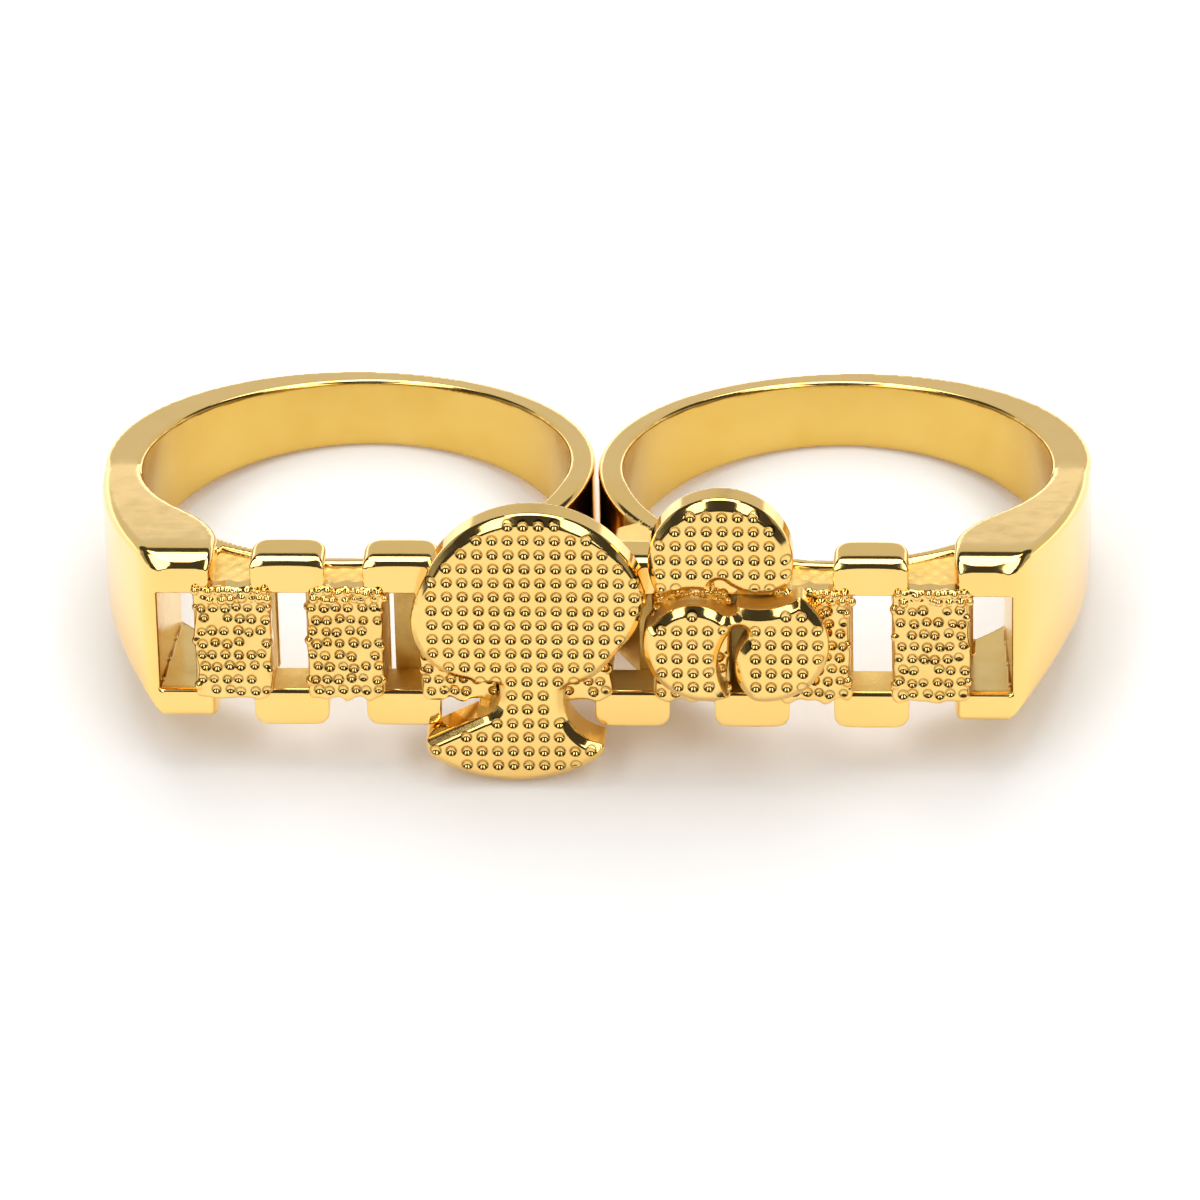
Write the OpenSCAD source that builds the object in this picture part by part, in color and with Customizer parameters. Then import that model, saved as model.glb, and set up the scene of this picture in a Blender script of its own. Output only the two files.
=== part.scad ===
// Two finger ring: two shanks side by side, joined in front by a bar of links and blocks that carries
// two raised figures. All of it is one solid of cast and soldered metal.
// Millimetres. Modules work in the ring's own frame: X across, Y to the back, Z along the fingers,
// with zero midway between the finger holes. The last module turns it to the pose that it rests in.

/* [Finger holes] */
// Diameter of each finger hole
hole_d = 18.1; // [14:0.1:24]
// Distance between the middles of the two holes
hole_spacing = 20.4; // [15.6:0.1:27]

/* [Shanks] */
// Radius of a shank's outside, at its inner side and back
shank_r = 10.13; // [9.8:0.01:10.19]
// Radius of the fuller outside, at its outer side
side_r = 9.3; // [9:0.05:10]
// How far the fuller outside is moved out from the hole's middle
side_shift = 1.4; // [1:0.05:2.2]
// Half height of a shank at its back
back_half = 1.48; // [1:0.02:2.2]
// Half height of a shank beside the hole's middle
mid_half = 2.42; // [2:0.02:3]
// Half height of the wall that runs behind the links
wall_half = 2.62; // [2.3:0.02:3.2]

/* [Link bar] */
// Half height of the bar
bar_half = 3.93; // [3:0.01:5]
// Distance of the bar's front face from the line through the hole middles
bar_front = 11.75; // [11:0.05:13]
// Depth of the polished blocks, front to back
block_deep = 2.05; // [1.5:0.05:2.4]
// Distance from one link to the next, left of the middle link
pitch_l = 4.68; // [4.4:0.01:5]
// Distance from one link to the next, right of the middle link
pitch_r = 4.96; // [4.6:0.01:5.2]
// Place of the middle link
bar_shift = -0.52; // [-0.8:0.01:0]
// Width of one dimpled link
link_w = 3.36; // [2.6:0.02:4]
// Width of one polished block
block_w = 3.16; // [2.6:0.02:4]
// Half height of the windows between the links
window_half = 2.24; // [1.6:0.02:3]
// Depth of the rolled upper edge along a block's front
block_roll_deep = 0.75; // [0.2:0.05:1.2]
// Height of that rolled edge
block_roll_high = 0.33; // [0.1:0.01:0.8]
// Corner radius of a block, seen from the front
block_r = 0.5; // [0.2:0.02:0.7]
// How far the dimpled pads stand out from the bar
pad_out = 0.16; // [0.05:0.01:0.5]

/* [Figures] */
// Thickness of the raised figures
figure_t = 1.3; // [0.8:0.05:2]
// Width of the bevel round a figure's face
figure_bevel = 0.3; // [0.1:0.05:0.5]
// Spacing of the dimples across a figure
dimple_pitch_x = 0.645; // [0.55:0.005:1]
// Spacing of the dimples up a figure
dimple_pitch_z = 0.66; // [0.55:0.005:1]
// Radius of the ball that forms a dimple
dimple_r = 0.3; // [0.2:0.01:0.4]
// Depth of a dimple
dimple_deep = 0.09; // [0.03:0.01:0.14]
// Least distance of a dimple's middle from the edge of a face
dimple_edge = 0.3; // [0.25:0.01:0.6]
// Width of the three slits in the right figure
slit_w = 0.7; // [0.3:0.05:1]
// How far the left figure's foot reaches back below the bar
foot_back = 0.5; // [0:0.05:1]

/* [Hidden] */
$fn = 96;
hole_r = hole_d / 2;
hole_x = hole_spacing / 2;
over = 1;
skin = 0.05;
shank_back = shank_r;
side_x = hole_x + side_shift + side_r;
side_y = 0.65;

// Plan of the shoulders: a wide arc from the side to the front corner, and the window's side wall.
shoulder_arc_r = 23.3;
shoulder_arc_x = side_x - 0.03 - shoulder_arc_r;
shoulder_arc_y = -0.5;
shoulder_in = 15.3;
shoulder_window = 17.7;
window_slant = 0.5;
window_back = 4;

// Upper and lower edge of a shoulder seen from the side, from the middle of the hole to the rolled front.
shoulder_roll_deep = 1.35;
shoulder_roll_high = 0.5;
shoulder_top = [[0, mid_half], [-4, 2.9], [-7, 3.3], [-9.2, 3.78]];
shoulder_low = [[0, -mid_half], [-4, -2.8], [-7, -3.08], [-9.5, -3.4], [-10.8, -3.76], [-bar_front, -3.8]];

// Link bar.
links_a_side = 3;
block_back = bar_front - block_deep;
block_h = bar_half - window_half;
block_low_roll = 0.15;
block_plan_r = 0.3;
wall_in = 7;
wall_from = 2.2;
link_inset = 0.08;
pad_deep = 0.6;
link_dimple_pitch = 0.62;
link_dimple_shift = 0.08;

// Plan of the right web, and the round end of its casting gate as [x, y, radius] with its two insets.
web = [[1.15, -6.2], [1.1, -7.7], [2.2, -block_back - skin], [8, -block_back - skin], [8, -8], [2.2, -5.6]];
gate = [1.65, -6.35, 0.6];
gate_low = 0.2;
gate_high = 0.3;

// Left figure, round forms as [x, z, radius]: the cap, three lobes that fill it out below, and the foot.
cap = [-2.05, 1.9, 4.72];
cap_low = 2.5;
lobes = [[-4.5, 1.45, 2.6], [-0.2, 2.45, 2.72], [-0.9, 0.9, 2.3]];
cap_floor = -1.2;
foot = [-2.9, 0.3, 6.2];
foot_left = -6.6;
foot_right = 0.85;
foot_top = -0.5;
neck_left = -3.5;
neck_right = -0.8;
notch_l = [-4.45, -1.9, 0.95];
notch_r = [1.2, -2.2, 2];
// Upper edge of the foot's left half, from the neck to past its tip.
toe_from = [-4, -2.72];
toe_to = [-8, -4.72];
dimple_x_l = -1.665;
dimple_z_l = 2.25;

// Right figure: three lobes about a middle, and three slits given as
// [x, z, radius, angle at the mouth, angle at the inner end].
lobe_t = [5.75, 4.35, 3];
lobe_br = [7.5, 0.55, 2.68];
lobe_bl = [5.1, 0.5, 2.62];
heart = [6.1, 2.1, 1.6];
// What fills the lobes' middle, in X and Z.
lobe_fill = [[3.35, 3.35], [8.25, 3.35], [9.4, 1.55], [7.5, -1.45], [5.1, -1.5], [3.1, 1.5]];
slits = [
  [7.3, 5, 2.4, -40, -132],
  [4.6, 0.45, 2.32, 145, 52],
  [8.3, -0.5, 2.39, 235, 140]
];
dimple_x_r = 5.85;
dimple_z_r = 2.7;

// Most dimples to either side of a figure's first one, and half the columns and rows on a link.
grid_half = 12;
link_cols = 2;
link_rows = 4;

// Rest: the figure's foot and the backs of the shanks touch the floor.
foot_low = foot[2] - foot[1];
rest_tilt = atan2(foot_low - back_half, bar_front + shank_back);
rest_back = shank_back * cos(rest_tilt) + back_half * sin(rest_tilt);
rest_front = (bar_front + figure_t) * cos(rest_tilt) + foot_low * sin(rest_tilt);
rest_y = (rest_front - rest_back) / 2;
rest_z = shank_back * sin(rest_tilt) + back_half * cos(rest_tilt);

gold = [0.93, 0.74, 0.36];

// Place of a link, counted from the middle one. Halves stand for the blocks between.
function link_x(i) = bar_shift + i * (i < 0 ? pitch_l : pitch_r);

// Rolled upper edge of the bar's front: a quarter of an oval, in Y and Z, from the top forward.
function roll(deep, high) = [
  for (a = [0:22.5:90])
    [-bar_front + deep * (1 - sin(a)), bar_half - high * (1 - cos(a))]
];

// Turns a shape drawn in X and Z so that it stands out from the bar's front.
module on_front(y) {
  translate([0, -y, 0])
    rotate([90, 0, 0])
      children();
}

// Everything between an upper and a lower edge that are given from the side, in Y and Z.
module band(top, low) {
  wide = 3 * side_x;
  back = [for (i = [len(low) - 1:-1:0]) low[i]];
  translate([-wide / 2, 0, 0])
    rotate([90, 0, 90])
      linear_extrude(height = wide)
        polygon(concat(top, back));
}

function below(points) = [for (p = points) [p[0], -p[1]]];

// Plan of the right shank: main round and the fuller outer round.
module shank_plan() {
  translate([hole_x, 0])
    circle(r = shank_r);
  translate([hole_x + side_shift, side_y])
    circle(r = side_r);
}

// Plan of the right shoulder, from the side to the front corner.
module shoulder_plan() {
  intersection() {
    translate([shoulder_arc_x, shoulder_arc_y])
      circle(r = shoulder_arc_r, $fn = 240);
    translate([shoulder_in, -bar_front])
      square([side_x - shoulder_in + over, bar_front]);
  }
}

// Right shank, still without its shoulder and finger hole.
module shank_right() {
  slope = (mid_half - back_half) / shank_back;
  edge = [
    [shank_back + over, back_half - slope * over],
    [0, mid_half],
    [-wall_from, wall_half],
    [-shank_back, wall_half]
  ];
  intersection() {
    translate([0, 0, -bar_half])
      linear_extrude(height = 2 * bar_half)
        shank_plan();
    band(edge, below(edge));
  }
}

module shoulder_right() {
  difference() {
    intersection() {
      translate([0, 0, -bar_half])
        linear_extrude(height = 2 * bar_half)
          shoulder_plan();
      band(concat(shoulder_top, roll(shoulder_roll_deep, shoulder_roll_high)), shoulder_low);
    }
    shoulder_opening();
  }
}

// The opening between the last link and the right shoulder's side wall.
module shoulder_opening() {
  translate([0, 0, -window_half])
    linear_extrude(height = 2 * window_half)
      polygon([
        [shoulder_in - over, -bar_front - over],
        [shoulder_window, -bar_front - over],
        [shoulder_window, -bar_front],
        [shoulder_window - window_slant, -window_back],
        [shoulder_in - over, -window_back]
      ]);
}

// Windows through the wall behind the bar: from each link to the next, and beside the two end links.
module wall_windows() {
  for (i = [-links_a_side:links_a_side - 1]) {
    from = link_x(i) + link_w / 2;
    to = link_x(i + 1) - link_w / 2;
    translate([from, -bar_front, -bar_half])
      cube([to - from, bar_front - wall_in, 2 * bar_half]);
  }
  for (side = [-1, 1]) {
    from = abs(link_x(side * links_a_side)) + link_w / 2;
    mirror([side < 0 ? 1 : 0, 0, 0])
      translate([from, -bar_front, -window_half])
        cube([shoulder_window - window_slant - from, bar_front - window_back, 2 * window_half]);
  }
}

// Web that ties a shank to the bar near the middle of the ring, and the round end of its casting gate.
module web_right() {
  translate([0, 0, -wall_half])
    linear_extrude(height = 2 * wall_half)
      polygon(web);
  translate([gate[0], gate[1], gate_low - wall_half])
    cylinder(h = 2 * wall_half - gate_low - gate_high, r = gate[2], $fn = 32);
}

// One polished block of the upper row, with its upper front edge rolled off.
module block(deep, high) {
  half = block_w / 2;
  intersection() {
    translate([-half, 0, 0])
      rotate([90, 0, 90])
        linear_extrude(height = block_w)
          polygon(concat(
            [
              [-bar_front, window_half],
              [-block_back, window_half],
              [-block_back, bar_half - block_low_roll],
              [-block_back - block_low_roll, bar_half]
            ],
            roll(deep, high)
          ));
    translate([0, 0, window_half - over])
      linear_extrude(height = block_h + 2 * over)
        rounded_plan(half);
    on_front(block_back - over)
      linear_extrude(height = block_deep + 2 * over)
        rounded_face(half);
  }
}

// Plan of a block with its four corners rounded.
module rounded_plan(half) {
  r = block_plan_r;
  back = block_back + r;
  front = bar_front - r;
  translate([-half, -front])
    square([2 * half, front - back]);
  translate([-half + r, -bar_front])
    square([2 * half - 2 * r, block_deep]);
  for (x = [-half + r, half - r])
    for (y = [-front, -back])
      translate([x, y])
        circle(r = r, $fn = 32);
}

// Front view of a block: round upper corners, square lower ones.
module rounded_face(half) {
  translate([-half, window_half])
    square([2 * half, block_h - block_r]);
  translate([-half + block_r, window_half])
    square([2 * half - 2 * block_r, block_h]);
  for (x = [-half + block_r, half - block_r])
    translate([x, bar_half - block_r])
      circle(r = block_r, $fn = 32);
}

// One link: the body that reaches the finger hole, and the dimpled pad in front.
module link() {
  half = link_w / 2;
  translate([-half + link_inset, -bar_front, -wall_half + link_inset])
    cube([link_w - 2 * link_inset, bar_front - wall_in, 2 * (wall_half - link_inset)]);
  difference() {
    translate([-half, -bar_front - pad_out, -wall_half])
      cube([link_w, pad_out + pad_deep, 2 * wall_half]);
    link_dimples();
  }
}

module bar() {
  for (i = [-links_a_side:links_a_side])
    translate([link_x(i), 0, 0])
      link();
  for (i = [-links_a_side:links_a_side - 1])
    translate([link_x(i + 0.5), 0, 0]) {
      block(block_roll_deep, block_roll_high);
      mirror([0, 0, 1])
        block(block_low_roll, block_low_roll);
    }
}

// A disc of the figures' thickness with a bevelled front edge.
module raised_disc(spot) {
  translate([spot[0], spot[1], 0]) {
    cylinder(h = figure_t - figure_bevel, r = spot[2]);
    translate([0, 0, figure_t - figure_bevel])
      cylinder(h = figure_bevel, r1 = spot[2], r2 = spot[2] - figure_bevel);
  }
}

// A round notch that widens towards the front by the same bevel.
module notch_disc(spot) {
  translate([spot[0], spot[1], -foot_back - over])
    cylinder(h = figure_t + foot_back + 2 * over, r = spot[2]);
  translate([spot[0], spot[1], figure_t - figure_bevel])
    cylinder(h = 2 * figure_bevel, r1 = spot[2], r2 = spot[2] + 2 * figure_bevel);
}

// Left figure: a broad cap on a short neck and a spreading foot.
module left_figure() {
  on_front(bar_front)
    difference() {
      union() {
        intersection() {
          raised_disc(cap);
          translate([cap[0] - cap[2], cap_low, 0])
            cube([2 * cap[2], cap[2], figure_t]);
        }
        for (spot = lobes)
          raised_disc(spot);
        translate([lobes[0][0], cap_floor, 0])
          cube([lobes[2][0] - lobes[0][0], cap_low + over - cap_floor, figure_t]);
        left_foot();
      }
      left_dimples();
    }
}

module left_foot() {
  difference() {
    union() {
      intersection() {
        raised_disc(foot);
        translate([foot_left, -foot_low, 0])
          cube([foot_right - foot_left, foot_low + foot_top, figure_t]);
      }
      intersection() {
        translate([foot[0], foot[1], -foot_back])
          cylinder(h = foot_back, r = foot[2]);
        translate([foot_left, -foot_low, -foot_back])
          cube([foot_right - foot_left, foot_low - wall_half, foot_back]);
      }
    }
    notch_disc(notch_l);
    notch_disc(notch_r);
    translate([0, 0, -foot_back - over])
      linear_extrude(height = figure_t + foot_back + 2 * over) {
        polygon([toe_to, toe_from, [neck_left, notch_l[1]], [neck_left, 0], [toe_to[0], 0]]);
        translate([neck_right, notch_r[1]])
          square(notch_r[2] + over);
      }
  }
}

// Right figure: three round lobes parted by three curved slits.
module right_figure() {
  on_front(bar_front)
    difference() {
      union() {
        raised_disc(lobe_t);
        raised_disc(lobe_br);
        raised_disc(lobe_bl);
        linear_extrude(height = figure_t)
          polygon(lobe_fill);
      }
      for (arc = slits)
        slit(arc);
      right_dimples();
    }
}

// One curved slit: [middle x, middle z, radius, angle at the mouth, angle at the inner end].
module slit(arc) {
  reach = arc[2] + over;
  mean = (arc[3] + arc[4]) / 2;
  deep = figure_t + 2 * over;
  translate([arc[0], arc[1], -over]) {
    intersection() {
      difference() {
        cylinder(h = deep, r = arc[2] + slit_w / 2);
        translate([0, 0, -over])
          cylinder(h = deep + 2 * over, r = arc[2] - slit_w / 2);
      }
      linear_extrude(height = deep)
        polygon([
          [0, 0],
          2 * reach * [cos(arc[3]), sin(arc[3])],
          2 * reach * [cos(mean), sin(mean)],
          2 * reach * [cos(arc[4]), sin(arc[4])]
        ]);
    }
    translate([arc[2] * cos(arc[4]), arc[2] * sin(arc[4]), 0])
      cylinder(h = deep, r = slit_w / 2, $fn = 48);
  }
}

// True where a point lies inside a round form, at least edge away from its rim.
function near(x, z, spot, edge) = norm([x - spot[0], z - spot[1]]) < spot[2] - edge;

function clear_of(x, z, spot, edge) = norm([x - spot[0], z - spot[1]]) > spot[2] + edge;

function on_cap(x, z, edge) =
  (z >= cap_low && near(x, z, cap, edge))
  || len([for (spot = lobes) if (near(x, z, spot, edge)) 1]) > 0
  || (x > lobes[0][0] && x < lobes[2][0] && z > cap_floor + edge && z < cap_low);

// Height of the foot's upper edge, left of the neck.
function toe_z(x) = toe_from[1] + (x - toe_from[0]) * (toe_to[1] - toe_from[1]) / (toe_to[0] - toe_from[0]);

function on_foot(x, z, edge) =
  near(x, z, foot, edge)
  && x > foot_left + edge
  && x < foot_right - edge
  && clear_of(x, z, notch_l, edge)
  && clear_of(x, z, notch_r, edge)
  && (x > neck_left + edge || z < toe_z(x) - edge)
  && (x < neck_right - edge || z < notch_r[1])
  && z < 0;

// Turn from an arc's middle direction to a point, between -180 and 180.
function turn(x, z, arc) =
  let (t = atan2(z - arc[1], x - arc[0]) - (arc[3] + arc[4]) / 2)
  t - 360 * round(t / 360);

function by_slit(x, z, arc, edge) =
  let (
    d = norm([x - arc[0], z - arc[1]]),
    tip = [arc[0] + arc[2] * cos(arc[4]), arc[1] + arc[2] * sin(arc[4])]
  )
  (abs(turn(x, z, arc)) < abs(arc[3] - arc[4]) / 2 && abs(d - arc[2]) < slit_w / 2 + edge)
  || norm([x - tip[0], z - tip[1]]) < slit_w / 2 + edge;

function on_lobes(x, z, edge) =
  (near(x, z, lobe_t, edge)
    || near(x, z, lobe_br, edge)
    || near(x, z, lobe_bl, edge)
    || near(x, z, heart, 0))
  && len([for (arc = slits) if (by_slit(x, z, arc, edge)) 1]) == 0;

// One dimple in a face at height h above the bar's front.
module dimple(x, z, h) {
  translate([x, z, h + dimple_r - dimple_deep])
    sphere(r = dimple_r, $fn = 24);
}

// Rows of dimples in the left figure's face.
module left_dimples() {
  for (i = [-grid_half:grid_half])
    for (j = [-grid_half:grid_half]) {
      x = dimple_x_l + i * dimple_pitch_x;
      z = dimple_z_l + j * dimple_pitch_z;
      if (on_cap(x, z, dimple_edge) || on_foot(x, z, dimple_edge))
        dimple(x, z, figure_t);
    }
}

// Rows of dimples in the right figure's face.
module right_dimples() {
  for (i = [-grid_half:grid_half])
    for (j = [-grid_half:grid_half]) {
      x = dimple_x_r + i * dimple_pitch_x;
      z = dimple_z_r + j * dimple_pitch_z;
      if (on_lobes(x, z, dimple_edge))
        dimple(x, z, figure_t);
    }
}

// Staggered dimples in the pad of one link.
module link_dimples() {
  on_front(bar_front)
    for (j = [-link_rows:link_rows - 1])
      for (i = [-link_cols:link_cols])
        dimple(
          i * link_dimple_pitch + link_dimple_shift * cos(180 * j),
          (j + 0.5) * link_dimple_pitch,
          pad_out
        );
}

// The whole ring in its own frame.
module ring() {
  difference() {
    union() {
      difference() {
        for (side = [0, 1])
          mirror([side, 0, 0])
            shank_right();
        wall_windows();
      }
      for (side = [0, 1])
        mirror([side, 0, 0]) {
          shoulder_right();
          web_right();
        }
      bar();
    }
    for (side = [-1, 1])
      translate([side * hole_x, 0, -bar_half - over])
        cylinder(h = 2 * (bar_half + over), r = hole_r, $fn = 180);
  }
  left_figure();
  right_figure();
}

module two_finger_ring() {
  color(gold)
    translate([0, rest_y, rest_z])
      rotate([-rest_tilt, 0, 0])
        ring();
}

two_finger_ring();
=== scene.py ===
"""Looks of the two finger ring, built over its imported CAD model.

Every surface is meshed here from a signed distance field: the ring's own frame in millimetres, X across,
Y to the back, Z along the fingers. The meshes are then turned to the pose that the ring rests in.
"""

import math

import bpy
import numpy as np
from mathutils import Matrix, Vector


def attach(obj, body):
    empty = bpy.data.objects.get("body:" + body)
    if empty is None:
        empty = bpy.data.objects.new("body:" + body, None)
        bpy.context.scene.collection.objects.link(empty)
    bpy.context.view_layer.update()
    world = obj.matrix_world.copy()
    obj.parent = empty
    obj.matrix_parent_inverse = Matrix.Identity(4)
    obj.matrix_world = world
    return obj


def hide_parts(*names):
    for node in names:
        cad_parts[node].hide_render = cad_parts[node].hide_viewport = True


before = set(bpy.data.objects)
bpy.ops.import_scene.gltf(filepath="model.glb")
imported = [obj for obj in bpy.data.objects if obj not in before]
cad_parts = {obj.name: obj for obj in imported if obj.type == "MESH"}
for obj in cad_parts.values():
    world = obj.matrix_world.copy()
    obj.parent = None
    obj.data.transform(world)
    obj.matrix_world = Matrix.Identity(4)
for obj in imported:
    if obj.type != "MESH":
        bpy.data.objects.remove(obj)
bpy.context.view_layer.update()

# Sizes in millimetres, as in part.scad. SIDE and ARC, the shoulder's outline in plan, are discs (x, y, radius)

HOLE_X, HOLE_R = 10.2, 9.05
SHANK_R = 10.13
SIDE, ARC = (11.6, 0.65, 9.3), (20.87 - 23.3, -0.5, 23.3)
BACK_HALF, MID_HALF, WALL_HALF = 1.48, 2.42, 2.62
BAR_HALF, BAR_FRONT, BLOCK_BACK = 3.93, 11.75, 9.7
PITCH_L, PITCH_R, BAR_SHIFT = 4.68, 4.96, -0.52
LINKS_A_SIDE = 3
LINK_W, LINK_INSET, BLOCK_W, WINDOW_HALF = 3.36, 0.08, 3.16, 2.24
WALL_IN, WALL_FROM = 7, 2.2
SHOULDER_IN, SHOULDER_WINDOW, WINDOW_BACK = 15.3, 17.7, 4
SHOULDER_ROLL, BLOCK_ROLL = (1.35, 0.5), (0.75, 0.33)
PAD_OUT, PAD_DEEP = 0.16, 0.6
FIGURE_T, FIGURE_BEVEL, FOOT_BACK = 1.3, 0.3, 0.5
STEP_X, STEP_Z, STEPS = 0.645, 0.66, 12
FOOT = (-2.9, 0.3, 6.2)

# Sizes that differ from the CAD model's or are finer: the wall behind the links, the dimples with their softened
# rims, the rows of dimples on the links, and the width of the figures' bevel

WALL_R = 9.73
BALL_R, DIMPLE_DEEP, DIMPLE_SOFT, DIMPLE_EDGE = 0.245, 0.13, 0.03, 0.28
PAD_COLUMNS, PAD_ROWS, PAD_STEP_X, PAD_STEP_Z = 6, 8, 0.51, 0.56
BEVEL_WIDE = 0.34

# The planes that cut the upper front corners: how far they turn to the side and up, in degrees, the shoulder's
# outer corner, and how far its cuts reach in from its outer and inner corners

CUT_ROUND, CUT_UP = 20, 48
SHOULDER_OUT, CUT_OUTER, CUT_INNER = 18, 0.75, 0.5

# A window's side wall leans by this much per millimetre of depth. The cosine makes its field a true distance

WINDOW_LEAN, LEAN_COSINE = 0.065, 0.998

# Steps of the meshes' grids

COARSE, MIDDLE, FINE = 0.12, 0.075, 0.06

# The pose that the ring rests in: on the left figure's foot and on the backs of both shanks

FOOT_LOW = FOOT[2] - FOOT[1]
TILT = math.atan2(FOOT_LOW - BACK_HALF, BAR_FRONT + SHANK_R)
REST_BACK = SHANK_R * math.cos(TILT) + BACK_HALF * math.sin(TILT)
REST_FRONT = (BAR_FRONT + FIGURE_T) * math.cos(TILT) + FOOT_LOW * math.sin(TILT)
REST_Y = (REST_FRONT - REST_BACK) / 2
REST_Z = SHANK_R * math.sin(TILT) + BACK_HALF * math.cos(TILT)
TO_ROW = (
    Matrix.Translation((0, REST_Y / 1000, REST_Z / 1000))
    @ Matrix.Rotation(-TILT, 4, "X")
    @ Matrix.Scale(0.001, 4)
)


def link_x(i):
    """Place of a link, counted from the middle one. Halves stand for the blocks between."""
    return BAR_SHIFT + i * (PITCH_L if i < 0 else PITCH_R)


# Distance fields


def both(a, b, r=0.0):
    """Intersection of two fields, its edge rounded to radius r."""
    return np.minimum(-r, np.maximum(a, b)) + np.hypot(np.maximum(a + r, 0), np.maximum(b + r, 0))


def either(a, b, r=0.0):
    """Union of two fields, with a fillet of radius r in the corner between them."""
    return -both(-a, -b, r)


def less(a, b, r=0.0):
    """a without b, its edge rounded to radius r."""
    return both(a, -b, r)


def rolled(a, b, ra, rb):
    """Intersection of two fields whose edge is rolled off in a quarter oval: ra along a, rb along b."""
    m = min(ra, rb)
    return both(a * m / ra, b * m / rb, m)


def ease(t):
    """Soft step from 0 to 1."""
    t = np.clip(t, 0, 1)
    return t * t * (3 - 2 * t)


def disc(x, y, cx, cy, r):
    """Disc of radius r about (cx, cy)."""
    return np.hypot(x - cx, y - cy) - r


def rect(x, y, x0, x1, y0, y1, r=0.0):
    """Rectangle with round corners."""
    dx = np.abs(x - (x0 + x1) / 2) - (x1 - x0) / 2 + r
    dy = np.abs(y - (y0 + y1) / 2) - (y1 - y0) / 2 + r
    return np.minimum(np.maximum(dx, dy), 0) + np.hypot(np.maximum(dx, 0), np.maximum(dy, 0)) - r


def convex(x, y, points):
    """Convex polygon, corners in counter-clockwise order."""
    d = np.full(np.shape(x), -1e3)
    for (ax, ay), (bx, by) in zip(points, points[1:] + points[:1]):
        n = math.hypot(bx - ax, by - ay)
        d = np.maximum(d, ((x - ax) * (by - ay) - (y - ay) * (bx - ax)) / n)
    return d


# How far the height curves reach along Y, to the front and to the back, and their step

CURVE_END, CURVE_STEP = 14, 0.02


class Curve:
    """A height curve through (position, height) points, smoothed over soft to each side, and its slope."""

    def __init__(self, points, soft=0.5):
        at = np.linspace(-CURVE_END, CURVE_END, round(2 * CURVE_END / CURVE_STEP) + 1)
        y, h = zip(*sorted(points))
        raw = np.interp(at, y, h)
        n = max(1, int(soft / CURVE_STEP))
        window = np.hanning(2 * n + 1)
        padded = np.concatenate([np.full(n, raw[0]), raw, np.full(n, raw[-1])])
        self.at = at
        self.h = np.convolve(padded, window / window.sum(), "valid")
        self.slope = np.gradient(self.h, at)

    def under(self, y, z):
        """Distance from what lies under the curve."""
        h = np.interp(y, self.at, self.h)
        m = np.interp(y, self.at, self.slope)
        return (z - h) / np.sqrt(1 + m * m)


# Meshing

CORNERS = np.array([(i, j, k) for i in (0, 1) for j in (0, 1) for k in (0, 1)])
EDGES = [(a, b) for a in range(8) for b in range(a + 1, 8) if np.abs(CORNERS[a] - CORNERS[b]).sum() == 1]
LAYERS = 24
NEWTON_STEPS = 4


def gradient(field, p, step=0.004):
    """Slope of a field at each place, from differences over step."""
    g = np.empty_like(p)
    for axis in range(3):
        q = p.copy()
        q[:, axis] += step
        up = field(q[:, 0], q[:, 1], q[:, 2])
        q[:, axis] -= 2 * step
        g[:, axis] = (up - field(q[:, 0], q[:, 1], q[:, 2])) / (2 * step)
    return g


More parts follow.
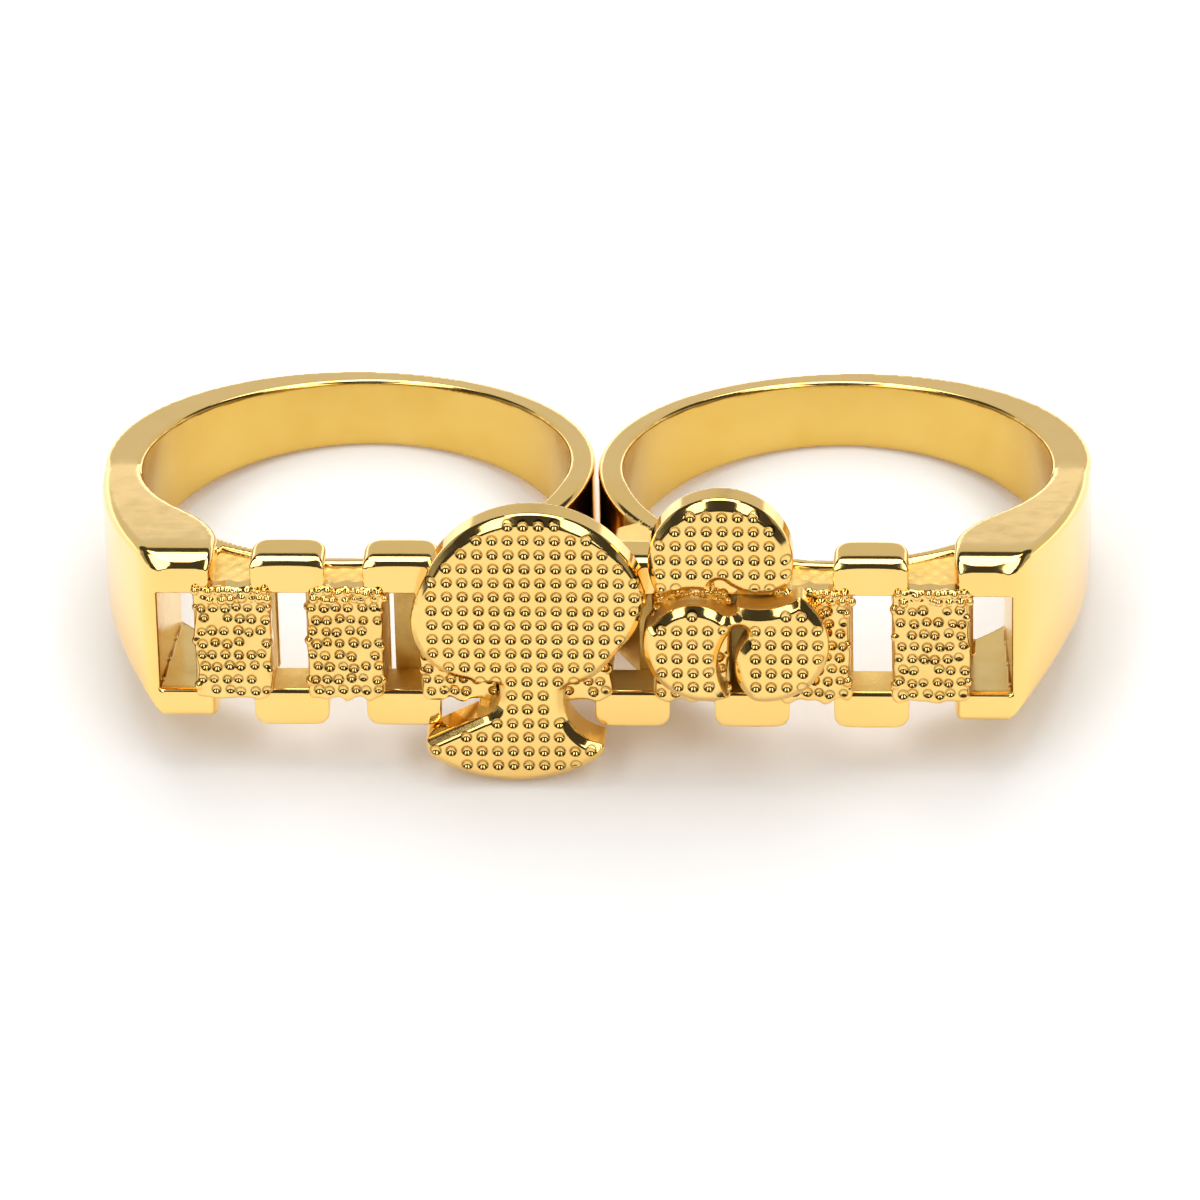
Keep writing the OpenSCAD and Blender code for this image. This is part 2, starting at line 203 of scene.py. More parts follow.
def surface(field, low, high, h):
    """Mesh of a field's zero surface on a grid of step h: (vertices, quads, normals). The field is worked out a
    few layers at a time. Each cell that the surface crosses gets a vertex at the middle of its edges' crossings.
    Newton's method then brings it onto the surface, by half a cell a step at most."""
    low, high = np.array(low, float), np.array(high, float)
    n = np.ceil((high - low) / h).astype(int) + 1
    axes = [low[i] + h * np.arange(n[i]) for i in range(3)]
    f = np.empty(n, np.float32)
    for i in range(0, n[0], LAYERS):
        part = np.meshgrid(axes[0][i : i + LAYERS], axes[1], axes[2], indexing="ij")
        f[i : i + LAYERS] = field(*part)
    inside = f < 0
    count = np.zeros(n - 1, np.int8)
    for i, j, k in CORNERS:
        count += inside[i : n[0] - 1 + i, j : n[1] - 1 + j, k : n[2] - 1 + k]
    cells = np.argwhere((count > 0) & (count < 8))
    ids = np.full(n - 1, -1, np.int64)
    ids[tuple(cells.T)] = np.arange(len(cells))
    at = [f[tuple((cells + c).T)].astype(float) for c in CORNERS]
    total, hits = np.zeros((len(cells), 3)), np.zeros(len(cells))
    for a, b in EDGES:
        cross = (at[a] < 0) != (at[b] < 0)
        t = np.where(cross, at[a] / np.where(cross, at[a] - at[b], 1), 0)
        total += np.where(cross[:, None], CORNERS[a] + t[:, None] * (CORNERS[b] - CORNERS[a]), 0)
        hits += cross
    p = low + h * (cells + total / hits[:, None])
    for _ in range(NEWTON_STEPS):
        g = gradient(field, p)
        d = field(p[:, 0], p[:, 1], p[:, 2])
        move = d[:, None] * g / np.maximum((g * g).sum(1), 0.05)[:, None]
        size = np.linalg.norm(move, axis=1)
        p -= move * np.minimum(1, 0.5 * h / np.maximum(size, 1e-9))[:, None]
    # One quad around each edge of the grid that the surface crosses, turned to face outward
    quads = []
    for axis in range(3):
        u, v = (axis + 1) % 3, (axis + 2) % 3
        a = [slice(1, m - 1) for m in n]
        b = list(a)
        a[axis], b[axis] = slice(0, n[axis] - 1), slice(1, n[axis])
        first, second = inside[tuple(a)], inside[tuple(b)]
        spots = np.argwhere(first != second)
        spots[:, u] += 1
        spots[:, v] += 1
        keep = first[first != second]
        corner = []
        for du, dv in ((-1, -1), (0, -1), (0, 0), (-1, 0)):
            s = spots.copy()
            s[:, u] += du
            s[:, v] += dv
            corner.append(ids[tuple(s.T)])
        q = np.stack(corner, 1)
        q[~keep] = q[~keep][:, ::-1]
        quads.append(q)
    normal = gradient(field, p)
    normal /= np.maximum(np.linalg.norm(normal, axis=1), 1e-9)[:, None]
    return p, np.concatenate(quads), normal


def moved(mesh, offset=(0, 0, 0), mirror=None):
    """A copy of a mesh, mirrored in one axis and then shifted."""
    p, q, n = (a.copy() for a in mesh)
    if mirror is not None:
        p[:, mirror] *= -1
        n[:, mirror] *= -1
        q = q[:, ::-1]
    return p + np.array(offset, float), q, n


# A normal with a lower Y than this faces the front

FACES_FRONT = -0.2


def piece(name, mesh, materials, pick=None, rim=None):
    """One shown object from a mesh in the ring's frame. pick gives a material to each middle and normal, and
    rim gives the distance from the nearest dimple's rim at each place in X and Z, for what faces the front, which
    places the painted shade along the rims."""
    p, q, n = mesh
    turn = np.array(TO_ROW.to_3x3())
    data = bpy.data.meshes.new(name)
    data.vertices.add(len(p))
    data.vertices.foreach_set("co", (p @ turn.T + np.array(TO_ROW.translation)).astype(np.float32).ravel())
    data.loops.add(q.size)
    data.loops.foreach_set("vertex_index", q.astype(np.int32).ravel())
    data.polygons.add(len(q))
    data.polygons.foreach_set("loop_start", np.arange(0, q.size, 4, dtype=np.int32))
    data.polygons.foreach_set("use_smooth", np.ones(len(q), bool))
    for material in materials:
        data.materials.append(material)
    if pick:
        chosen = pick(p[q].mean(1), n[q].mean(1))
        data.polygons.foreach_set("material_index", chosen.astype(np.int32))
    data.update(calc_edges=True)
    data.validate()
    if rim:
        near = data.attributes.new("rim", "FLOAT", "POINT")
        value = np.where(n[:, 1] < FACES_FRONT, rim(p[:, 0], p[:, 2]), 1)
        near.data.foreach_set("value", value.astype(np.float32))
    data.normals_split_custom_set_from_vertices((n @ (turn * 1000).T).astype(np.float32))
    obj = bpy.data.objects.new(name, data)
    bpy.context.scene.collection.objects.link(obj)
    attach(obj, "root")
    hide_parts("two_finger_ring")


# Shanks and shoulders: curves of half height along Y, for a shank and for a shoulder's upper and lower edge, which
# share BACK, their part behind the middle of the hole. Then the web and its post in plan

BACK = [(0, MID_HALF), (SHANK_R, BACK_HALF), (CURVE_END, 1.2)]
BAND = Curve([(-CURVE_END, WALL_HALF), (-WALL_FROM, WALL_HALF)] + BACK)
TOP = Curve([(-CURVE_END, BAR_HALF), (-10.6, BAR_HALF)] + BACK, 1.2)
LOW = Curve([(-CURVE_END, 3.83), (-11.3, 3.8), (-9.5, 3.4), (-7, 3.08), (-4, 2.8)] + BACK, 1.2)
WEB = [(2.2, -5.6), (1.15, -6.2), (1.1, -7.7), (2.2, -9.75), (8, -9.75), (8, -8)]
POST, POST_HALF = (1.65, -6.35, 0.62), 2.45


def shoulder_window(x, y, z):
    """The opening between the last link and the shoulder's side wall."""
    slant = (x - SHOULDER_WINDOW + WINDOW_LEAN * (y + BAR_FRONT)) * LEAN_COSINE
    return np.maximum(np.maximum(slant, np.abs(z) - WINDOW_HALF), y + WINDOW_BACK)


def corner_cut(along, y, z, deep, high):
    """Plane that takes off an upper front corner of an edge rolled off over deep and high. along grows to the
    corner, and the plane touches the roll where along is 0."""
    c, e = math.cos(math.radians(CUT_UP)), math.sin(math.radians(CUT_UP))
    t = math.atan(math.tan(math.radians(CUT_UP)) * high / deep)
    out = -y - BAR_FRONT + deep * (1 - math.cos(t))
    up = z - BAR_HALF + high * (1 - math.sin(t))
    side = math.radians(CUT_ROUND)
    return along * math.sin(side) * c + out * math.cos(side) * c + up * e


def shank(side):
    """A shank with its shoulder and the web behind the bar, drawn as if it were the right one."""
    gaps = []
    for i in range(-LINKS_A_SIDE, LINKS_A_SIDE):
        ends = sorted((side * (link_x(i) + LINK_W / 2), side * (link_x(i + 1) - LINK_W / 2)))
        if ends[1] > 0:
            gaps.append(ends)
    last = side * link_x(side * LINKS_A_SIDE) + LINK_W / 2

    def field(x, y, z):
        hole = disc(x, y, HOLE_X, 0, HOLE_R)
        thin = (SHANK_R - WALL_R) * ease((-y - WALL_IN) / 1.8) * (x < SHOULDER_IN)
        round_part = np.hypot(x - HOLE_X, y) - SHANK_R + thin
        plan = either(round_part, disc(x, y, *SIDE), 0.8)
        plan = np.minimum(plan, np.maximum(disc(x, y, *ARC), y))
        slab = np.maximum(BAND.under(y, z), BAND.under(y, -z))
        band = both(np.minimum(round_part, np.maximum(plan, -y)), slab, 0.28)
        for left, right in gaps:
            band = np.maximum(band, -np.maximum(np.maximum(left - x, x - right), y + WALL_IN))
        window = shoulder_window(x, y, z)
        band = np.maximum(band, -np.maximum(window, last - x))
        front = -(y + BAR_FRONT)
        lower = LOW.under(y, -z)
        side_wall = both(rolled(front, TOP.under(y, z), *SHOULDER_ROLL), lower, 0.5)
        side_wall = both(plan, side_wall, 0.28 + 0.1 * ease(-y / 5))
        side_wall = np.maximum(side_wall, both(plan, lower, 0.28 + 0.9 * ease(-y / 8)))
        side_wall = both(side_wall, both(SHOULDER_IN - x, -hole, 1.8), 0.3)
        side_wall = both(side_wall, corner_cut(x - SHOULDER_OUT + CUT_OUTER, y, z, *SHOULDER_ROLL), 0.08)
        side_wall = both(side_wall, corner_cut(SHOULDER_IN + CUT_INNER - x, y, z, *SHOULDER_ROLL), 0.08)
        side_wall = both(side_wall, -window, 0.13)
        web = both(convex(x, y, WEB), np.abs(z) - WALL_HALF + 0.05, 0.15)
        post = both(disc(x, y, *POST), np.abs(z) - POST_HALF, 0.45)
        return less(np.minimum(np.minimum(band, side_wall), either(web, post, 0.1)), hole, 0.2)

    return field


def shank_finish(side):
    """Polished outside (0), wear with a deeper colour of painted reflection in the finger hole (1), sawn in the
    shoulder's window (3), and cast skin on the web and on the outside of the wall behind the links (2)."""

    def pick(c, n):
        x, y, z = side * c[:, 0], c[:, 1], c[:, 2]
        nz = n[:, 2]
        from_hole = np.hypot(x - HOLE_X, y)
        # The finger hole: wear, and a deeper gold that is a painted reflection of the gold around it
        wear_and_painted_reflection = (np.abs(from_hole - HOLE_R) < 0.06) & (np.abs(nz) < 0.6)
        inside = (shoulder_window(x, y, z) < 0.02) & (x > SHOULDER_IN - 0.3) & (y > 0.15 - BAR_FRONT)
        webbed = (x < 8.2) & (y < -5) & (from_hole > SHANK_R - 0.1)
        outer = (y < -6.2) & (from_hole > WALL_R - 0.1) & (np.abs(nz) < 0.5) & (x < SHOULDER_IN)
        return np.where(wear_and_painted_reflection, 1, np.where(inside, 3, np.where(webbed | outer, 2, 0)))

    return pick


# The bar


def block(deep, high, side_deep, corner, cut):
    """One polished block of the upper row, about x = 0. Its upper edges roll off, over deep and high along the
    front and over side_deep at the sides. Its upper front corners are cut, from cut inside its sides, and its
    upper corners in front view have the radius corner."""

    def field(x, y, z):
        half = BLOCK_W / 2
        top = z - BAR_HALF + 0.04 * (x / half) ** 2
        plan = rect(x, y, -half, half, -BAR_FRONT - 1, -BLOCK_BACK, 0.8)
        d = rolled(-(y + BAR_FRONT), top, deep, high)
        d = both(d, rolled(plan, top, side_deep, min(side_deep, 0.3)), 0.05)
        d = both(d, corner_cut(np.abs(x) - half + cut, y, z, deep, high), 0.07)
        d = both(d, both(y + BLOCK_BACK, WINDOW_HALF - z, 0.1), 0.18)
        return both(d, rect(x, z, -half, half, 0, BAR_HALF, corner), 0.08)

    return field


def block_finish(c, n):
    """Polished, but with cast skin on the faces inside the window."""
    inside = (np.abs(c[:, 2]) < WINDOW_HALF + 0.03) & (c[:, 1] > 0.15 - BAR_FRONT)
    return np.where(inside, 1, 0)


def link_body(place):
    """The rough body behind one dimpled pad, reaching to the finger hole."""

    def field(x, y, z):
        grain = 0.014 * np.sin(9 * x + 3 * z + place) * np.sin(7 * y - 4 * z)
        half = LINK_W / 2 - LINK_INSET
        d = rect(x - place, z, -half, half, 0.22 - WALL_HALF, WALL_HALF - 0.2, 0.1)
        d = both(d, np.abs(y + (BAR_FRONT + WALL_IN) / 2) - (BAR_FRONT - WALL_IN) / 2, 0.1)
        for side in (-1, 1):
            d = less(d, disc(x, y, side * HOLE_X, 0, HOLE_R + 0.06), 0.02)
        return d + grain

    return field


def rim_r(r, deep):
    """Radius of the rim that a ball of radius r leaves when it is pressed in by deep."""
    return math.sqrt(r * r - (r - deep) ** 2)


def pad_spots(rng):
    """Uneven rows of dimples on a link's pad: (x, z, depth, radius of the ball)."""
    spots = []
    for j in range(PAD_ROWS):
        for i in range(PAD_COLUMNS):
            x = (i - (PAD_COLUMNS - 1) / 2) * PAD_STEP_X + 0.06 * (-1) ** j + rng.uniform(-0.07, 0.07)
            z = (j - (PAD_ROWS - 1) / 2) * PAD_STEP_Z - 0.2 + rng.uniform(-0.07, 0.07)
            if rng.uniform() < 0.93:
                spots.append((x, z, rng.uniform(0.1, 0.16), rng.uniform(0.18, 0.235)))
    return spots


def pad_lumps(rng):
    """Lumps of metal crumpled along the pad's upper edge, and a few at its sides: (x, y, z, radius)."""
    lumps = []
    for row in range(2):
        for i in range(8):
            x = (i - 3.5 + row / 2) * 0.4 + rng.uniform(-0.1, 0.1)
            z = WALL_HALF - 0.1 - 0.34 * row - rng.uniform(0, 0.16)
            lumps.append((x, rng.uniform(0, 0.18), z, rng.uniform(0.14, 0.22)))
    for i in range(3):
        for side in (-1, 1):
            z = (i - 1) * 1.5 + rng.uniform(-0.5, 0.5)
            lumps.append((side * (LINK_W / 2 - 0.2), 0.16, z, rng.uniform(0.16, 0.24)))
    return lumps


def pad(place, seed):
    """The dimpled pad in front of one link: its field, and the distance from the nearest dimple's rim."""
    rng = np.random.default_rng(seed)
    spots, lumps = pad_spots(rng), pad_lumps(rng)
    waves = [(rng.uniform(1.5, 4.5), rng.uniform(-3, 3), rng.uniform(0, 6)) for _ in range(5)]

    def field(x, y, z):
        x = x - place
        out = -y - BAR_FRONT - PAD_OUT
        wave = sum(np.sin(a * x * 2 + b * z * 1.7 + c) for a, b, c in waves) * 0.018
        half = LINK_W / 2
        d = rect(x, z, 0.1 - half, half - 0.1, -WALL_HALF, WALL_HALF, 0.3) + wave * 1.6
        crown = 0.03 * ((x / half) ** 2 + (z / WALL_HALF) ** 2)
        d = both(d, out + crown + wave * 0.5, 0.16)
        d = both(d, -out - PAD_OUT - PAD_DEEP, 0.05)
        for lx, ly, lz, r in lumps:
            ball = np.sqrt((x - lx) ** 2 + (z - lz) ** 2 + (out + ly) ** 2) - r
            d = np.minimum(d, np.where(ball < 0.2, either(d, ball, 0.06), 1))
        for bx, bz, deep, r in spots:
            ball = np.sqrt((x - bx) ** 2 + (z - bz) ** 2 + (out - r + deep) ** 2) - r
            d = np.maximum(d, np.where(ball < 0.15, less(d, ball, 0.05), -1))
        return d

    def rim(x, z):
        return np.minimum.reduce([disc(x - place, z, bx, bz, rim_r(r, deep)) for bx, bz, deep, r in spots])

    return field, rim


# The raised figures, as in part.scad: discs (x, z, radius), and slits (x, z, radius, first and last angle)

CAP, CAP_LOW = (-2.05, 1.9, 4.72), 2.5
CAP_LOBES = [(-4.5, 1.45, 2.6), (-0.2, 2.45, 2.72), (-0.9, 0.9, 2.3)]
CAP_FLOOR = -1.2
FOOT_LEFT, FOOT_RIGHT, FOOT_TOP = -6.6, 0.85, -0.5
NOTCH_L, NOTCH_R = (-4.45, -1.9, 0.95), (1.2, -2.2, 2)
NECK_L, NECK_R = -3.5, -0.8
TOE = [(-8, -4.72), (-4, -2.72)]
LOBES = [(5.75, 4.35, 3), (7.5, 0.55, 2.68), (5.1, 0.5, 2.62)]
HEART = (6.1, 2.1, 1.6)
SLITS = [(7.3, 5, 2.4, -40, -132), (4.6, 0.45, 2.32, 145, 52), (8.3, -0.5, 2.39, 235, 140)]
SLIT_W = 0.7
DIMPLE_L, DIMPLE_R = (-1.665, 2.25), (5.85, 2.7)


def left_outline(x, z):
    """Outline of the left figure: a broad cap, a neck and a spreading foot."""
    cap = both(disc(x, z, *CAP), CAP_LOW - z, 0.02)
    for lobe in CAP_LOBES:
        cap = either(cap, disc(x, z, *lobe), 0.4)
    cap = either(cap, rect(x, z, CAP_LOBES[0][0], CAP_LOBES[2][0], CAP_FLOOR, CAP_LOW + 1), 0.4)
    foot = both(disc(x, z, *FOOT), rect(x, z, FOOT_LEFT, FOOT_RIGHT, -7, FOOT_TOP), 0.3)
    foot = less(foot, disc(x, z, *NOTCH_L), 0.12)
    above = convex(x, z, TOE + [(NECK_L, NOTCH_L[1]), (NECK_L, 0), (-8, 0)])
    foot = less(foot, above, 0.1)
    foot = less(foot, disc(x, z, *NOTCH_R), 0.15)
    foot = less(foot, rect(x, z, NECK_R, 3, NOTCH_R[1], 1), 0.05)
    return either(cap, foot, 0.3)


def arc(x, z, cx, cz, r, a0, a1):
    """Distance from an arc that runs from angle a0 to angle a1, in degrees."""
    mid, half = math.radians((a0 + a1) / 2), math.radians(abs(a0 - a1) / 2)
    u, v = x - cx, z - cz
    c, s = math.cos(mid), math.sin(mid)
    u, v = u * c + v * s, np.abs(v * c - u * s)
    ends = np.hypot(u - r * math.cos(half), v - r * math.sin(half))
    return np.where(np.arctan2(v, u) < half, np.abs(np.hypot(u, v) - r), ends)


def right_outline(x, z):
    """Outline of the right figure: a whirl of three lobes, parted by three slits."""
    d = disc(x, z, *LOBES[0])
    for lobe in LOBES[1:]:
        d = either(d, disc(x, z, *lobe), 0.25)
    d = np.minimum(d, disc(x, z, *HEART))
    for slit in SLITS:
        d = less(d, arc(x, z, *slit) - SLIT_W / 2, 0.12)
    return d


def dimples(outline, x0, z0, seed):
    """Dimples on a grid through (x0, z0), where the outline leaves room: the field of the balls that press them,
    and the distance from the nearest rim, as if all were equally deep."""
    rng = np.random.default_rng(seed)
    steps = np.arange(-STEPS, STEPS + 1)
    gx, gz = np.meshgrid(x0 + steps * STEP_X, z0 + steps * STEP_Z, indexing="ij")
    kept = outline(gx, gz) < -DIMPLE_EDGE
    gx += rng.uniform(-0.012, 0.012, gx.shape)
    gz += rng.uniform(-0.012, 0.012, gx.shape)
    deep = DIMPLE_DEEP * rng.uniform(0.9, 1.12, gx.shape)

    def nearest(x, z):
        i = np.clip(np.rint((x - x0) / STEP_X).astype(int) + STEPS, 0, 2 * STEPS)
        j = np.clip(np.rint((z - z0) / STEP_Z).astype(int) + STEPS, 0, 2 * STEPS)
        return i, j

    def field(x, y, z):
        at = nearest(x, z)
        out = -y - BAR_FRONT - FIGURE_T - BALL_R + deep[at]
        return np.where(kept[at], np.sqrt((x - gx[at]) ** 2 + (z - gz[at]) ** 2 + out * out) - BALL_R, 1)

    def rim(x, z):
        at = nearest(x, z)
        return np.where(kept[at], np.hypot(x - gx[at], z - gz[at]) - rim_r(BALL_R, DIMPLE_DEEP), 1)

    return field, rim


def figure(outline, balls, back_below=None):
    """A dimpled slab in front of the bar, its edge bevelled. Below back_below it reaches further back."""
    steep = BEVEL_WIDE / FIGURE_BEVEL

    def field(x, y, z):
        d = outline(x, z)
        out = -y - BAR_FRONT
        bevel = (d + (out - FIGURE_T) * steep + BEVEL_WIDE) / math.hypot(1, steep)
        slab = both(both(d, out - FIGURE_T, 0.03), bevel, 0.07)
        slab = less(slab, balls(x, y, z), DIMPLE_SOFT)
        back = -out - 0.05
        if back_below is not None:
            back = np.minimum(back, both(-out - FOOT_BACK, z - back_below, 0.05))
        return both(slab, back, 0.05)

    return field


def slit_walls(x, z):
    """Below zero on the walls of the right figure's slits."""
    return np.minimum.reduce([arc(x, z, *slit) for slit in SLITS]) - SLIT_W / 2 - 0.06


def notch_walls(x, z):
    """Below zero on the walls of the left figure's notches."""
    return np.minimum(disc(x, z, *NOTCH_L), disc(x, z, *NOTCH_R)) - 0.1


def figure_finish(cut):
    """Polished, but with cast skin on the walls where cut is below zero."""

    def pick(c, n):
        wall = (np.abs(n[:, 1]) < 0.35) & (c[:, 1] > 0.32 - BAR_FRONT - FIGURE_T)
        return np.where(wall & (cut(c[:, 0], c[:, 2]) < 0), 1, 0)

    return pick


# Materials


def shader(name, metallic=1.0):
    """A new material: (material, add a node, link two sockets, its Principled shader)."""
    material = bpy.data.materials.new(name)
    material.use_nodes = True
    tree = material.node_tree
    principled = tree.nodes["Principled BSDF"]
    principled.inputs["Metallic"].default_value = metallic
    return material, tree.nodes.new, tree.links.new, principled


def noise(add, link, place, scale, detail, roughness=0.5):
    """Noise with scale waves to the metre, from 0 to 1."""
    node = add("ShaderNodeTexNoise")
    node.inputs["Scale"].default_value = scale
    node.inputs["Detail"].default_value = detail
    node.inputs["Roughness"].default_value = roughness
    link(place, node.inputs["Vector"])
    return node.outputs["Fac"]


def spread(add, link, value, low, high, start=0.3, end=0.7):
    """value brought from start..end, where most of a noise lies, to low..high."""
    node = add("ShaderNodeMapRange")
    node.inputs["From Min"].default_value = start
    node.inputs["From Max"].default_value = end
    node.inputs["To Min"].default_value = low
    node.inputs["To Max"].default_value = high
    link(value, node.inputs["Value"])
    return node.outputs["Result"]


def tint(add, link, value, first, second):
    """A colour between first, where value is 0, and second, where it is 1."""
    node = add("ShaderNodeMix")
    node.data_type = "RGBA"
    node.inputs["A"].default_value = (*first, 1)
    node.inputs["B"].default_value = (*second, 1)
    link(value, node.inputs["Factor"])
    return node.outputs["Result"]


def painted_rim_shade(add, link, colour):
    """colour, with painted shade in a thin line along each dimple's rim, most where the metal faces up. The line
    is full up to 0.012 mm from the rim and gone at 0.055 mm."""
    rim = add("ShaderNodeAttribute")
    rim.attribute_name = "rim"
    size = add("ShaderNodeMath")
    size.operation = "ABSOLUTE"
    link(rim.outputs["Fac"], size.inputs[0])
    parts = add("ShaderNodeSeparateXYZ")
    link(add("ShaderNodeNewGeometry").outputs["Normal"], parts.inputs["Vector"])
    amount = add("ShaderNodeMath")
    amount.operation = "MULTIPLY"
    link(spread(add, link, size.outputs["Value"], 1, 0, 0.012, 0.055), amount.inputs[0])
    link(spread(add, link, parts.outputs["Z"], 0.42, 0.93, -0.2, 0.5), amount.inputs[1])
    mix = add("ShaderNodeMix")
    mix.data_type = "RGBA"
    # The dark colour of the painted shade along the rims
    mix.inputs["B"].default_value = (0.13, 0.055, 0.004, 1)
    link(colour, mix.inputs["A"])
    link(amount.outputs["Value"], mix.inputs["Factor"])
    return mix.outputs["Result"]


def gold(name, bright, deep, roughness, waves, grain, with_rim_shade=False):
    """Gold alloy. Its colour runs from bright to deep in clouds of 2.5 mm, and its roughness between the two given
    in patches of 0.8 mm. The polish's waves and the fine grain are given as (height, size) in millimetres. It can
    also paint a line of shade along each dimple's rim."""
    material, add, link, principled = shader(name)
    place = add("ShaderNodeTexCoord").outputs["Object"]
    cloudy = noise(add, link, place, 1000 / 2.5, 3)
    colour = tint(add, link, spread(add, link, cloudy, 0, 1), bright, deep)
    link(painted_rim_shade(add, link, colour) if with_rim_shade else colour, principled.inputs["Base Color"])
    wear = noise(add, link, place, 1000 / 0.8, 4, 0.6)
    link(spread(add, link, wear, *roughness), principled.inputs["Roughness"])
    wave = add("ShaderNodeBump")
    wave.inputs["Distance"].default_value = waves[0] / 1000
    link(noise(add, link, place, 1000 / waves[1], 2), wave.inputs["Height"])
    fine = add("ShaderNodeBump")
    fine.inputs["Distance"].default_value = grain[0] / 1000
    link(noise(add, link, place, 1000 / grain[1], 5, 0.65), fine.inputs["Height"])
    link(wave.outputs["Normal"], fine.inputs["Normal"])
    link(fine.outputs["Normal"], principled.inputs["Normal"])
    return material


YELLOW = (1.0, 0.68, 0.23), (0.98, 0.65, 0.205)
polished = gold("polished_gold", *YELLOW, (0.07, 0.12), (0.0015, 1.6), (0.0004, 0.09))
# The figures' and the pads' gold carry painted shade along each dimple's rim
figured = gold("figure_gold", *YELLOW, (0.07, 0.12), (0.004, 1.6), (0.0006, 0.09), with_rim_shade=True)
dimpled = gold(
    "dimpled_gold", (0.99, 0.68, 0.24), (0.95, 0.62, 0.19), (0.1, 0.18), (0.004, 0.8), (0.002, 0.1), with_rim_shade=True
)
# Finger hole gold: rougher from wear, and its deeper, darker colour is a painted reflection of the gold around it
wear_and_painted_reflection = gold("worn_gold_painted_reflection", (0.77, 0.52, 0.13), (0.73, 0.47, 0.1), (0.16, 0.24), (0.012, 1.6), (0.001, 0.1))
cast = gold("cast_gold", (0.95, 0.71, 0.27), (0.9, 0.62, 0.19), (0.42, 0.6), (0.03, 0.5), (0.02, 0.12))
sawn = gold("sawn_gold", (1.0, 0.72, 0.29), (0.96, 0.66, 0.22), (0.16, 0.26), (0.012, 0.6), (0.004, 0.12))

# Pieces, each meshed inside a box given by its low and high corner

SHANK_BOX = (-0.1, -12.1, -4.3), (21.6, 10.6, 4.3)
for name, side in (("left", -1), ("right", 1)):
    mesh = surface(shank(side), *SHANK_BOX, COARSE)
    if side < 0:
        mesh = moved(mesh, mirror=0)
    piece(f"shank_{name}", mesh, (polished, wear_and_painted_reflection, cast, sawn), shank_finish(side))

BLOCK_BOX = (-1.8, -12.0, 2.0), (1.8, -9.5, 4.1)
upper = surface(block(*BLOCK_ROLL, side_deep=0.42, corner=0.5, cut=0.45), *BLOCK_BOX, MIDDLE)
lower = surface(block(0.16, 0.16, side_deep=0.18, corner=0.7, cut=-0.2), *BLOCK_BOX, MIDDLE)
lower = moved(lower, mirror=2)
for i in range(2 * LINKS_A_SIDE):
    x = link_x(i - LINKS_A_SIDE + 0.5)
    piece(f"block_upper_{i + 1}", moved(upper, (x, 0, 0)), (polished, cast), block_finish)
    piece(f"block_lower_{i + 1}", moved(lower, (x, 0, 0)), (polished, cast), block_finish)

for i in range(2 * LINKS_A_SIDE + 1):
    x = link_x(i - LINKS_A_SIDE)
    body = surface(link_body(x), (x - 1.9, -12.0, -2.9), (x + 1.9, -4.5, 2.9), COARSE)
    piece(f"link_{i + 1}", body, (cast,))
    field, rim = pad(x, seed=40 + i)
    front = surface(field, (x - 2.1, -12.4, -3.0), (x + 2.1, -10.9, 3.0), FINE)
    piece(f"pad_{i + 1}", front, (dimpled,), rim=rim)

left_balls, left_rim = dimples(left_outline, *DIMPLE_L, seed=3)
right_balls, right_rim = dimples(right_outline, *DIMPLE_R, seed=4)
left_field = figure(left_outline, left_balls, back_below=-WALL_HALF - 0.05)
right_field = figure(right_outline, right_balls)
left_slab = surface(left_field, (-7.4, -13.2, -6.2), (2.9, -11.1, 7.0), FINE)
right_slab = surface(right_field, (2.2, -13.2, -2.4), (10.4, -11.6, 7.6), FINE)
piece("figure_left", left_slab, (figured, cast), figure_finish(notch_walls), left_rim)
piece("figure_right", right_slab, (figured, cast), figure_finish(slit_walls), right_rim)

# Studio


def floor():
    """A white table that gives off a little light."""
    material, add, link, principled = shader("floor_white", 0)
    place = add("ShaderNodeTexCoord").outputs["Object"]
    mottled = spread(add, link, noise(add, link, place, 60, 3), 0, 1)
    link(tint(add, link, mottled, (0.93, 0.93, 0.93), (0.9, 0.9, 0.9)), principled.inputs["Base Color"])
    principled.inputs["Roughness"].default_value = 0.9
    principled.inputs["Emission Color"].default_value = (1, 1, 1, 1)
    principled.inputs["Emission Strength"].default_value = 0.08
    data = bpy.data.meshes.new("floor")
    half = 2.0
    corners = [(-half, -half, 0), (half, -half, 0), (half, half, 0), (-half, half, 0)]
    data.from_pydata(corners, [], [(0, 1, 2, 3)])
    data.materials.append(material)
    obj = bpy.data.objects.new("floor", data)
    bpy.context.scene.collection.objects.link(obj)


def softbox(name, at, to, width, height, radiance):
    """A flat lamp that faces a point, in metres. Its radiance is the brightness that a mirror shows of it."""
    lamp = bpy.data.lights.new(name, "AREA")
    lamp.shape = "RECTANGLE"
    lamp.size, lamp.size_y = width, height
    lamp.energy = radiance * math.pi * width * height
    obj = bpy.data.objects.new(name, lamp)
    obj.location = at
    obj.rotation_euler = (Vector(at) - Vector(to)).to_track_quat("Z", "Y").to_euler()
    obj.visible_camera = False
    bpy.context.scene.collection.objects.link(obj)


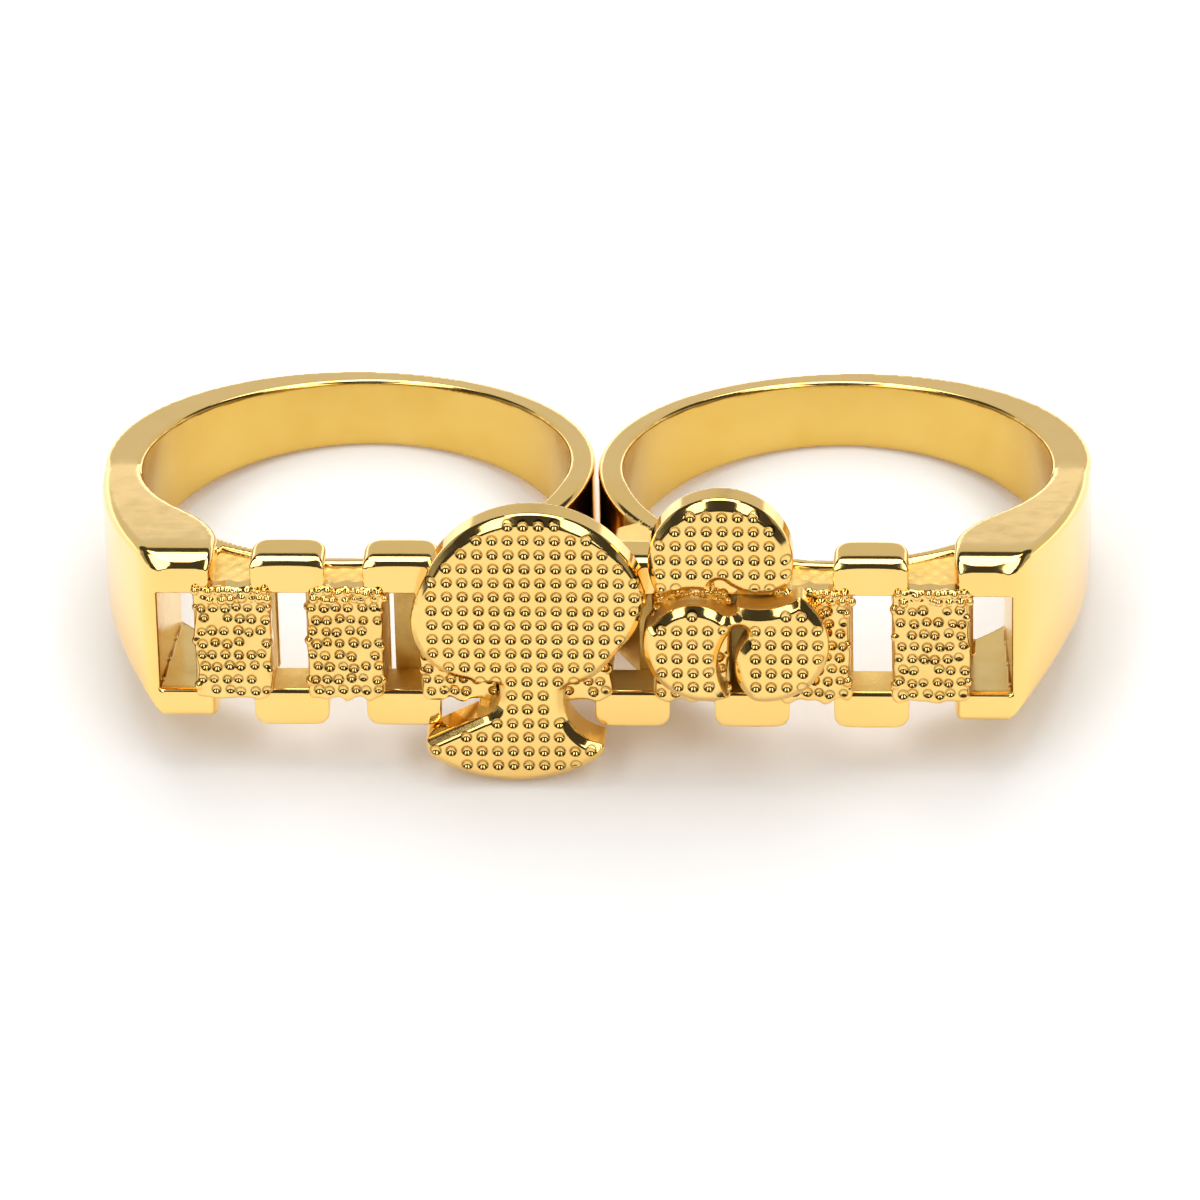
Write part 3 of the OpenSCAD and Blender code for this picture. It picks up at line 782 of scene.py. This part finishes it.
floor()
softbox("over_back", (0, 0.33, 0.6), (0, 0, 0), 0.5, 0.55, 3.8)
softbox("behind", (0, 0.045, 0.015), (0, 0, 0.015), 0.3, 0.03, 0.62)
softbox("front_left", (-0.39, -0.3, 0.68), (-0.39, 0, 0), 0.32, 1.15, 2.9)
softbox("front_right", (0.39, -0.3, 0.68), (0.39, 0, 0), 0.32, 1.15, 2.9)
softbox("left_side", (-0.7, 0.1, 0.2), (0, 0, 0.05), 0.7, 0.35, 0.3)
softbox("right_side", (0.7, 0.1, 0.2), (0, 0, 0.05), 0.7, 0.35, 0.3)

world = bpy.data.worlds.new("studio")
world.use_nodes = True
world.node_tree.nodes["Background"].inputs["Color"].default_value = (1, 1, 1, 1)
world.node_tree.nodes["Background"].inputs["Strength"].default_value = 0.05
bpy.context.scene.world = world
bpy.context.scene.view_settings.view_transform = "Standard"

# Camera, in the ring's frame: degrees to the side, up and of roll, and millimetres

CAMERA_ROUND, CAMERA_UP, CAMERA_ROLL = 3.46, 28.4, 1.35
CAMERA_FAR = 390
CAMERA_AIM = (0, 0, -4.27)
LENS, FILM = 273.9, 36


def camera():
    """The photo's camera, carried along with the ring into the pose that it rests in."""
    a, e, r = (math.radians(v) for v in (CAMERA_ROUND, CAMERA_UP, CAMERA_ROLL))
    away = Vector((math.sin(a) * math.cos(e), -math.cos(a) * math.cos(e), math.sin(e)))
    right = Vector((math.cos(a), math.sin(a), 0))
    up = away.cross(right)
    right, up = right * math.cos(r) - up * math.sin(r), right * math.sin(r) + up * math.cos(r)
    turn = Matrix((right, up, away)).transposed().to_4x4()
    place = Matrix.Translation(Vector(CAMERA_AIM) + away * CAMERA_FAR) @ turn
    data = bpy.data.cameras.new("camera")
    data.lens, data.sensor_width = LENS, FILM
    data.clip_start, data.clip_end = 0.01, 20
    obj = bpy.data.objects.new("camera", data)
    placed = TO_ROW @ place
    obj.matrix_world = Matrix.LocRotScale(placed.to_translation(), placed.to_quaternion(), None)
    bpy.context.scene.collection.objects.link(obj)
    bpy.context.scene.camera = obj


camera()
